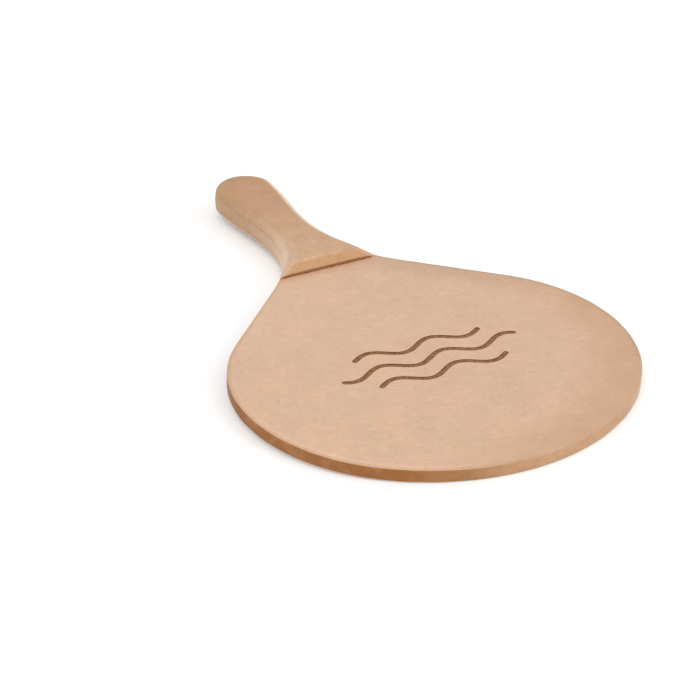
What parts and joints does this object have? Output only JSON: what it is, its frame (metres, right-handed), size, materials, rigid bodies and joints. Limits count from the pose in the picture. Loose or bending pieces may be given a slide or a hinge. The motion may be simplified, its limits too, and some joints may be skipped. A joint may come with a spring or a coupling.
{
  "type": "frescobol racket",
  "caption": "Round-bladed wooden beach racket with a short waisted handle, thickened by a glued grip scale on each side with a bevelled front.",
  "frame": {"origin": "under the middle of the bounding box, in the plane of the lower grip scale's flat face, which the racket lies on", "axes": "+Y from the butt of the handle to the tip of the blade, +Z square to the blade's face and up, +X across the blade"},
  "size_m": [0.248, 0.37, 0.02],
  "materials": {
    "board": "sanded raw fibreboard, fine short fibres on the faces, browner cut edge",
    "grip_scale": "sanded raw fibreboard, smooth routed rounding, browner bevel"
  },
  "bodies": {
    "root": {"racket_board": "board", "upper_grip_scale": "grip_scale", "lower_grip_scale": "grip_scale"}
  },
  "joints": []
}
